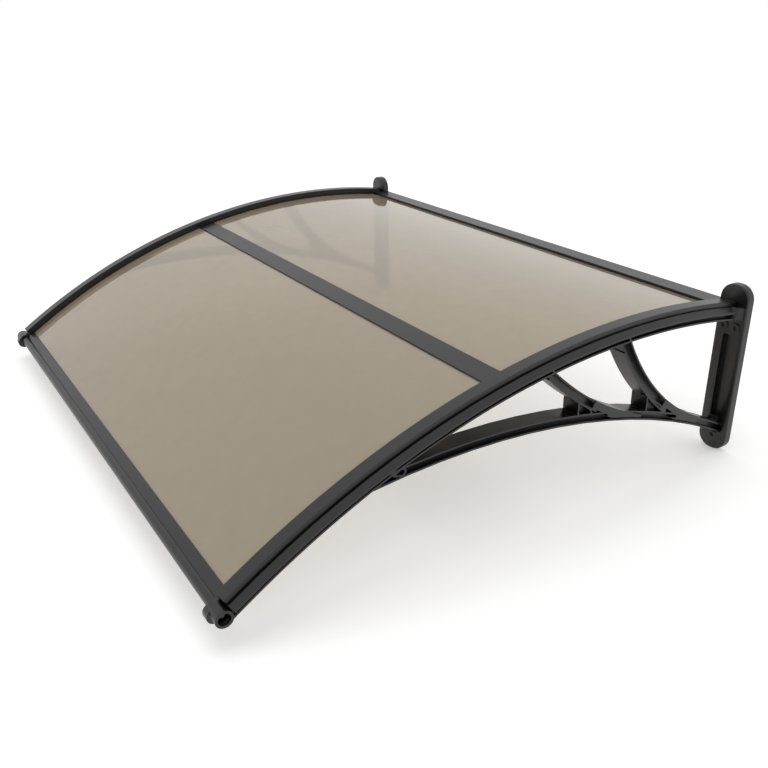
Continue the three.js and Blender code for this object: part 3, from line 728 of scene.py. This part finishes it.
class CANOPY_OT_stage(CanopyOperator, bpy.types.Operator):
    """Sets the pale floor, the soft studio light and the photograph's camera"""

    bl_idname = "canopy.stage"
    bl_label = "Stage"

    def seen(self, tree):
        """One for rays from the camera, a reflection or a sheet, else zero."""
        rays = add(tree, "ShaderNodeLightPath").outputs
        seen_or_reflected = add(tree, "ShaderNodeMath", {
            0: rays["Is Camera Ray"], 1: rays["Is Glossy Ray"],
        }, operation="MAXIMUM").outputs[0]
        return add(tree, "ShaderNodeMath", {
            0: seen_or_reflected, 1: rays["Is Transmission Ray"],
        }, operation="MAXIMUM").outputs[0]

    def floor(self, colour):
        # Matt white studio floor: pale and even, with the canopy's soft shadow on it
        material, tree = blank_material("pale studio floor")
        lift = 0.32
        cloud_mm = 400
        place = add(tree, "ShaderNodeTexCoord").outputs["Object"]
        cloud = add(tree, "ShaderNodeTexNoise", {"Vector": place, "Scale": 1000 / cloud_mm})
        matt = add(tree, "ShaderNodeBsdfDiffuse", {
            "Color": tones(tree, cloud.outputs["Fac"], colour, 0.99, 1.0),
        })
        glow = add(tree, "ShaderNodeMath", {0: self.seen(tree), 1: lift}, operation="MULTIPLY")
        emission = add(tree, "ShaderNodeEmission", {"Strength": glow.outputs[0]})
        both = add(tree, "ShaderNodeAddShader", {0: matt.outputs["BSDF"], 1: emission.outputs["Emission"]})
        add(tree, "ShaderNodeOutputMaterial", {"Surface": both.outputs["Shader"]})
        half = 40
        clearance = 0.0005
        form = bmesh.new()
        bottom = CAD_BOX[0][2] - clearance
        corners = [(-half, -half), (half, -half), (half, half), (-half, half)]
        form.faces.new([form.verts.new((x, y, bottom)) for x, y in corners])
        ground = new_object("studio_floor", form)
        ground.data.materials.append(material)

    def world(self, context):
        fill = 0.75
        world = bpy.data.worlds.new("white studio")
        world.use_nodes = True
        tree = world.node_tree
        tree.nodes.clear()
        strength = add(tree, "ShaderNodeMapRange", {"Value": self.seen(tree), "To Min": fill, "To Max": 1.0})
        sky = add(tree, "ShaderNodeBackground", {
            "Color": (1, 1, 1, 1),
            "Strength": strength.outputs["Result"],
        })
        add(tree, "ShaderNodeOutputWorld", {"Surface": sky.outputs["Background"]})
        context.scene.world = world

    def softbox(self, name, place, target, size, watts):
        lamp = bpy.data.lights.new(name, "AREA")
        lamp.shape = "SQUARE"
        lamp.size = size
        lamp.energy = watts
        holder = bpy.data.objects.new(name, lamp)
        holder.location = place
        holder.rotation_euler = (Vector(target) - Vector(place)).to_track_quat("-Z", "Y").to_euler()
        bpy.context.scene.collection.objects.link(holder)

    def camera(self, context):
        across = math.cos(CAMERA_ELEVATION)
        forward = Vector((
            -math.sin(CAMERA_AZIMUTH) * across,
            math.cos(CAMERA_AZIMUTH) * across,
            -math.sin(CAMERA_ELEVATION),
        ))
        view = bpy.data.cameras.new("photograph")
        view.sensor_width = SENSOR_MM
        view.lens = CAMERA_FOCAL_PX / IMAGE_PX * SENSOR_MM
        view.shift_x = 0.5 - CAMERA_CENTRE_PX[0] / IMAGE_PX
        view.shift_y = CAMERA_CENTRE_PX[1] / IMAGE_PX - 0.5
        holder = bpy.data.objects.new("photograph", view)
        holder.location = CAMERA_EYE
        holder.rotation_euler = forward.to_track_quat("-Z", "Y").to_euler()
        context.scene.collection.objects.link(holder)
        context.scene.camera = holder

    def execute(self, context):
        context.scene.view_settings.view_transform = "Standard"
        self.floor(context.scene.canopy_colours.floor)
        self.world(context)
        self.softbox(
            "overhead_softbox", place=(0.0, -0.5, 2.2), target=(0.0, -0.4, 0.0), size=1.6, watts=10,
        )
        self.camera(context)
        return {"FINISHED"}


OPERATORS = (
    CANOPY_OT_stage,
    CANOPY_OT_sheets,
    CANOPY_OT_press_strips,
    CANOPY_OT_rails,
    CANOPY_OT_brackets,
    CANOPY_OT_screws,
)


class CANOPY_PT_panel(bpy.types.Panel):
    """Lists the canopy's pieces, sizes and colours"""

    bl_idname = "CANOPY_PT_panel"
    bl_label = "Door canopy"
    bl_space_type = "VIEW_3D"
    bl_region_type = "UI"
    bl_category = "Canopy"

    def draw(self, context):
        for operator in OPERATORS:
            self.layout.operator(operator.bl_idname)
        for group in (context.scene.canopy_sizes, context.scene.canopy_colours):
            box = self.layout.box()
            for name in group.__annotations__:
                box.prop(group, name)


CLASSES = (CanopySizes, CanopyColours, *OPERATORS, CANOPY_PT_panel)


def register():
    for kind in CLASSES:
        bpy.utils.register_class(kind)
    bpy.types.Scene.canopy_sizes = bpy.props.PointerProperty(type=CanopySizes)
    bpy.types.Scene.canopy_colours = bpy.props.PointerProperty(type=CanopyColours)


def unregister():
    del bpy.types.Scene.canopy_colours
    del bpy.types.Scene.canopy_sizes
    for kind in reversed(CLASSES):
        bpy.utils.unregister_class(kind)


def main():
    register()
    bpy.ops.canopy.stage()
    bpy.ops.canopy.sheets()
    bpy.ops.canopy.press_strips()
    bpy.ops.canopy.rails()
    bpy.ops.canopy.brackets()
    bpy.ops.canopy.screws()


if __name__ == "__main__":
    main()
